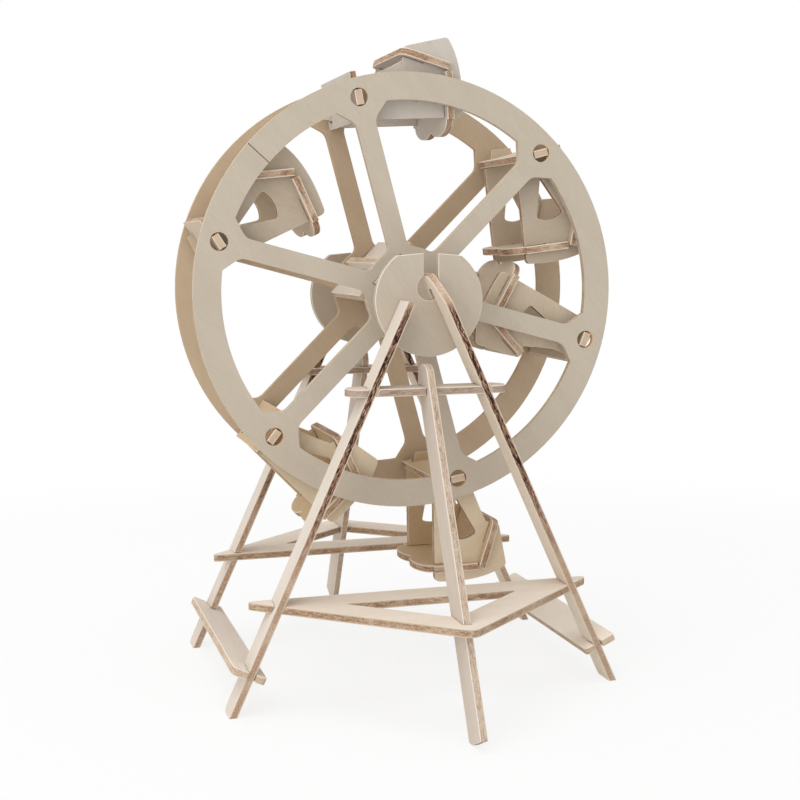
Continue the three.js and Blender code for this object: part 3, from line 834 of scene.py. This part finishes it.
@dataclass
class EndFrame:
    """One end frame: two legs, a strut, a crossbar, a ground brace and a hub disc."""

    end: str
    legs: tuple[str, str] = ("left_leg", "right_leg")
    # The right leg's lighter birch is painted light, not a different wood.
    leg_birches: tuple[Birch, Birch] = (LEG_BIRCH, LIT_RIGHT_LEG_BIRCH)

    def build(self, dresser: Dresser) -> None:
        """Dresses the frame.

        Args:
            dresser: Makes the pieces.
        """
        for leg, birch in zip(self.legs, self.leg_birches):
            dresser.dress(f"{self.end}_{leg}", "frame", birch, Lie.ALONG)
        dresser.dress(f"{self.end}_strut", "frame", STRUT_BIRCH, Lie.ALONG)
        dresser.dress(f"{self.end}_crossbar", "frame", CROSSBAR_BIRCH, Lie.ALONG)
        dresser.dress(f"{self.end}_brace", "frame", BRACE_BIRCH, Lie.ALONG)
        dresser.dress(f"{self.end}_hub_disc", "frame", WHEEL_BIRCH, Lie.SLANT)


@dataclass
class TiePlates:
    """The two plates that tie the end frames together."""

    sides: tuple[str, str] = ("left", "right")
    # The right plate's lighter birch is painted light, not a different wood.
    birches: tuple[Birch, Birch] = (TIE_BIRCH, LIT_RIGHT_TIE_BIRCH)

    def build(self, dresser: Dresser) -> None:
        """Dresses the plates.

        Args:
            dresser: Makes the pieces.
        """
        for side, birch in zip(self.sides, self.birches):
            dresser.dress(f"{side}_tie_plate", "frame", birch, Lie.ALONG)


@dataclass
class DoubleWheel:
    """Both wheels and the three hub plates between them."""

    kerf_angle: float = math.radians(138.2)
    kerf_start: float = 76.0 * MM
    bore_ring: tuple[float, float] = (77.2 * MM, 86.0 * MM)
    hub_plates: tuple[str, ...] = ("hub_upper_slat", "hub_lower_slat", "hub_core_plate")

    def build(self, dresser: Dresser) -> None:
        """Dresses the wheels.

        Args:
            dresser: Makes the pieces.
        """
        middle = Vector((0.0, 0.0, AXLE_HEIGHT))
        kerf = Kerf(middle, self.kerf_angle, self.kerf_start)
        bores = BoreRing(middle, *self.bore_ring)
        dresser.dress("near_wheel", "wheel", WHEEL_BIRCH, Lie.SLANT, kerf, bores)
        # The far wheel's darker, warmer birch is painted shade.
        dresser.dress("far_wheel", "wheel", SHADED_FAR_WHEEL_BIRCH, Lie.SLANT, bores=bores)
        for plate in self.hub_plates:
            dresser.dress(plate, "wheel", TIE_BIRCH, Lie.ALONG)


@dataclass
class Cabin:
    """One cabin: two sides, a floor, a seat back and a roof."""

    number: int
    # The near and inner birches differ only by painted light and shade.
    near_birch: Birch
    inner_birch: Birch
    tab_face: float = 24.6 * MM

    def build(self, dresser: Dresser) -> None:
        """Dresses the cabin.

        Args:
            dresser: Makes the pieces.
        """
        body = f"cabin_{self.number}"
        dresser.dress(f"{body}_near_side", body, self.near_birch, Lie.LEVEL)
        dresser.dress(f"{body}_far_side", body, self.inner_birch, Lie.LEVEL)
        dresser.dress(f"{body}_floor", body, self.inner_birch, Lie.ALONG)
        dresser.dress(f"{body}_back", body, self.inner_birch, Lie.ALONG)
        tabbed = replace(self.inner_birch, pale_beyond=self.tab_face)
        dresser.dress(f"{body}_roof", body, tabbed, Lie.ALONG)


@dataclass
class PhotoCamera:
    """Camera at the photograph's place."""

    place: Sizes = (-0.1626, -0.5609, 0.1801)
    turn: float = math.radians(16.516)
    dip: float = math.radians(6.43)
    roll: float = math.radians(-0.167)
    lens: float = 61.83
    sensor: float = 36.0
    near_clip: float = 10.0 * MM

    def build(self) -> None:
        """Makes the camera and gives it to the scene."""
        data = bpy.data.cameras.new("photo_camera")
        data.lens = self.lens
        data.sensor_width = self.sensor
        data.clip_start = self.near_clip
        camera = bpy.data.objects.new("photo_camera", data)
        bpy.context.scene.collection.objects.link(camera)
        look = Vector(
            (
                math.sin(self.turn) * math.cos(self.dip),
                math.cos(self.turn) * math.cos(self.dip),
                -math.sin(self.dip),
            )
        )
        right = Vector((math.cos(self.turn), -math.sin(self.turn), 0.0))
        up = right.cross(look)
        rolled_right = right * math.cos(self.roll) + up * math.sin(self.roll)
        rolled_up = up * math.cos(self.roll) - right * math.sin(self.roll)
        camera.location = self.place
        matrix = camera.matrix_world.copy()
        for row in range(3):
            matrix[row][0] = rolled_right[row]
            matrix[row][1] = rolled_up[row]
            matrix[row][2] = -look[row]
            matrix[row][3] = self.place[row]
        camera.matrix_world = matrix
        bpy.context.scene.camera = camera
        LOG.info("camera at %s", self.place)


@dataclass(frozen=True)
class SoftBox:
    """One large soft lamp that aims at the middle of the object."""

    name: str
    place: Sizes
    side: float
    power: float

    def build(self, aim: Vector) -> None:
        """Makes the lamp.

        Args:
            aim: Where it points.
        """
        data = bpy.data.lights.new(self.name, "AREA")
        data.size = self.side
        data.energy = self.power
        lamp = bpy.data.objects.new(self.name, data)
        bpy.context.scene.collection.objects.link(lamp)
        lamp.location = self.place
        lamp.rotation_mode = "QUATERNION"
        lamp.rotation_quaternion = (aim - Vector(self.place)).to_track_quat("-Z", "Y")


@dataclass
class Studio:
    """Pale floor, white surround and soft lamps."""

    floor_half: float = 3.0
    floor_colour: Colour = (0.82, 0.82, 0.82)
    whiteness: float = 0.8
    fade_start: float = 0.3
    fade_end: float = 0.55
    surround: float = 0.78
    aim_share: float = 0.8
    lamps: list[SoftBox] = field(
        default_factory=lambda: [
            SoftBox("overhead", (-0.35, -0.25, 1.35), 1.1, 7.5),
            SoftBox("left_front", (-1.2, -1.0, 0.55), 1.0, 5.5),
        ]
    )

    def build(self) -> None:
        """Makes the floor, the world and the lamps."""
        aim = UP * (AXLE_HEIGHT * self.aim_share)
        for lamp in self.lamps:
            lamp.build(aim)
        self._floor()
        self._world()
        bpy.context.scene.view_settings.view_transform = "Standard"
        LOG.info("studio with %d lamps", len(self.lamps))

    def _floor(self) -> None:
        """Lays the floor, which the camera and reflections see as nearly white."""
        half = self.floor_half
        mesh = bpy.data.meshes.new("studio_floor")
        square = [(-half, -half, 0.0), (half, -half, 0.0), (half, half, 0.0), (-half, half, 0.0)]
        mesh.from_pydata(square, [], [(0, 1, 2, 3)])
        floor = bpy.data.objects.new("studio_floor", mesh)
        bpy.context.scene.collection.objects.link(floor)
        sheet = NodeSheet(bpy.data.materials.new("studio_floor"))
        sockets = {"Color": (*self.floor_colour, 1.0), "Roughness": 0.0}
        diffuse = sheet.node("ShaderNodeBsdfDiffuse", {}, sockets)
        white = sheet.node("ShaderNodeEmission", {}, {"Color": WHITE, "Strength": 1.0})
        place = sheet.node("ShaderNodeTexCoord", {}, {}, "Object")
        away = sheet.node("ShaderNodeVectorMath", {"operation": "LENGTH"}, {0: place}, "Value")
        fade = away.ramp(self.fade_start, self.fade_end) * (1.0 - self.whiteness)
        shown = sheet.seen() * (fade + self.whiteness)
        sheet.finish(sheet.node("ShaderNodeMixShader", {}, {0: shown, 1: diffuse, 2: white}))
        mesh.materials.append(sheet.holder)

    def _world(self) -> None:
        """Sets the white surround."""
        sheet = NodeSheet(bpy.data.worlds.new("studio_surround"))
        strength = sheet.seen() * (1.0 - self.surround) + self.surround
        light = sheet.node("ShaderNodeBackground", {}, {"Color": WHITE, "Strength": strength})
        sheet.finish(light, "ShaderNodeOutputWorld")
        bpy.context.scene.world = sheet.holder


def main() -> None:
    """Dresses the ferris wheel and sets it in its studio."""
    logging.basicConfig(level=logging.INFO, format="%(name)s: %(message)s")
    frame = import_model()
    dresser = Dresser(frame)
    for end in ("near", "far"):
        EndFrame(end).build(dresser)
    TiePlates().build(dresser)
    DoubleWheel().build(dresser)
    for number, birches in enumerate(CABIN_BIRCHES, start=1):
        Cabin(number, *birches).build(dresser)
    PhotoCamera().build()
    Studio().build()


if __name__ == "__main__":
    main()
